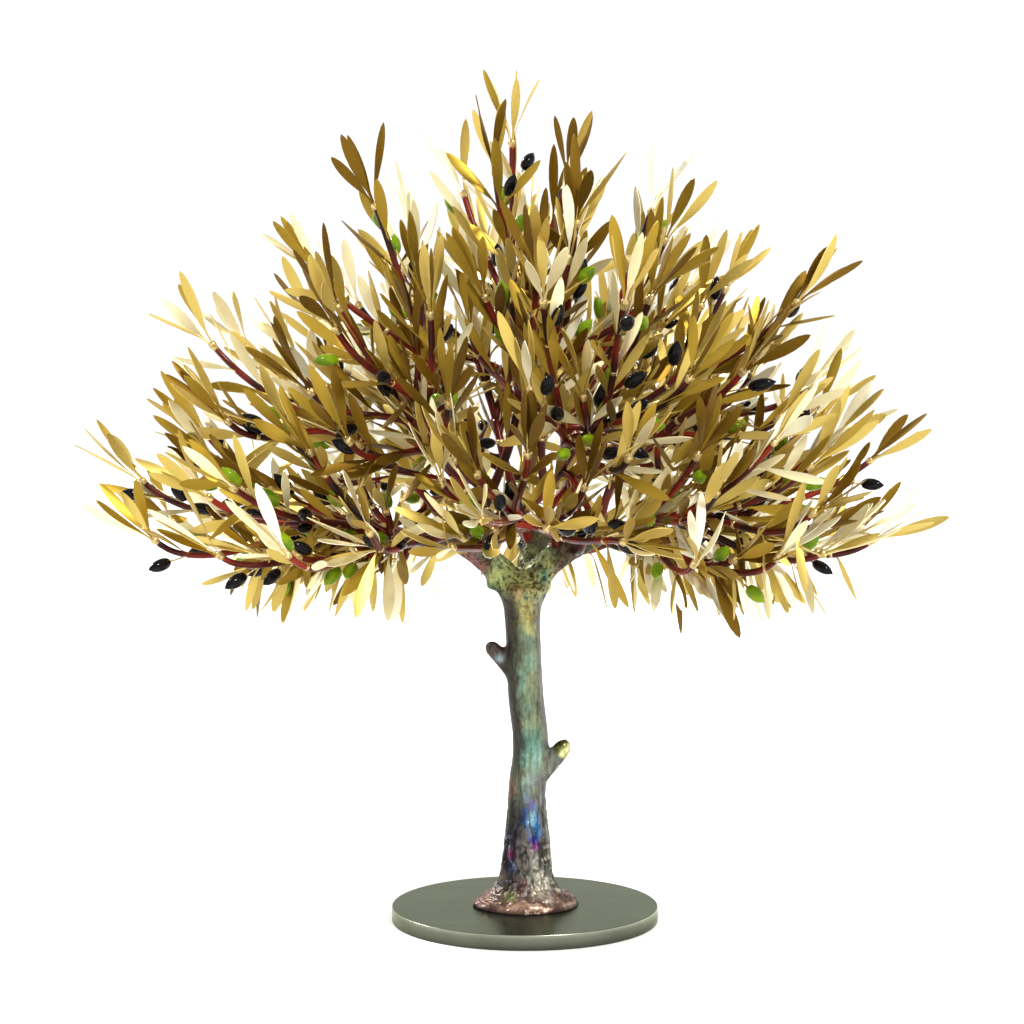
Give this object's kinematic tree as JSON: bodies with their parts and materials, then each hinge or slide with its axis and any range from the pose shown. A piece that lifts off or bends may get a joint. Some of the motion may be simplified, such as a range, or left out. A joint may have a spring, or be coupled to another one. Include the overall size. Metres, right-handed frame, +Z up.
{
  "type": "metal olive tree sculpture",
  "caption": "Table-top metal olive tree: round steel plate, patinated cast trunk forking into boughs, and a broad domed crown of copper rods with brass leaves and small olives.",
  "frame": {"origin": "centre of the plate's flat underside", "axes": "+Z up the trunk, +X to the right in front view along the crown's longest side, +Y to the back"},
  "size_m": [0.5753, 0.5279, 0.572],
  "materials": {
    "steel_plate": "dark satin steel",
    "cast_bronze": "cast bronze with a blue-green, ochre and copper patina",
    "copper_rod": "dark red to near-black lacquered copper",
    "brass_leaves": "satin brass sheet leaves"
  },
  "bodies": {
    "root": {"plate": "steel_plate", "trunk": "cast_bronze", "stub_left": "cast_bronze", "stub_right": "cast_bronze", "bough_left": "cast_bronze", "bough_right": "cast_bronze", "bough_back": "cast_bronze", "bough_front": "cast_bronze", "leaves_high_1": "brass_leaves", "leaves_high_2": "brass_leaves", "leaves_high_3": "brass_leaves", "leaves_high_4": "brass_leaves", "leaves_low_1": "brass_leaves", "leaves_low_2": "brass_leaves", "leaves_low_3": "brass_leaves", "leaves_low_4": "brass_leaves", "leaves_low_5": "brass_leaves", "leaves_low_6": "brass_leaves", "leaves_low_7": "brass_leaves", "leaves_low_8": "brass_leaves", "leaves_mid_1": "brass_leaves", "leaves_mid_2": "brass_leaves", "leaves_mid_3": "brass_leaves", "leaves_mid_4": "brass_leaves", "leaves_mid_5": "brass_leaves", "leaves_mid_6": "brass_leaves", "leaves_top": "brass_leaves", "rod_high_1": "copper_rod", "rod_high_2": "copper_rod", "rod_high_3": "copper_rod", "rod_high_4": "copper_rod", "rod_low_1": "copper_rod", "rod_low_2": "copper_rod", "rod_low_3": "copper_rod", "rod_low_4": "copper_rod", "rod_low_5": "copper_rod", "rod_low_6": "copper_rod", "rod_low_7": "copper_rod", "rod_low_8": "copper_rod", "rod_mid_1": "copper_rod", "rod_mid_2": "copper_rod", "rod_mid_3": "copper_rod", "rod_mid_4": "copper_rod", "rod_mid_5": "copper_rod", "rod_mid_6": "copper_rod", "rod_top": "copper_rod"}
  },
  "joints": []
}
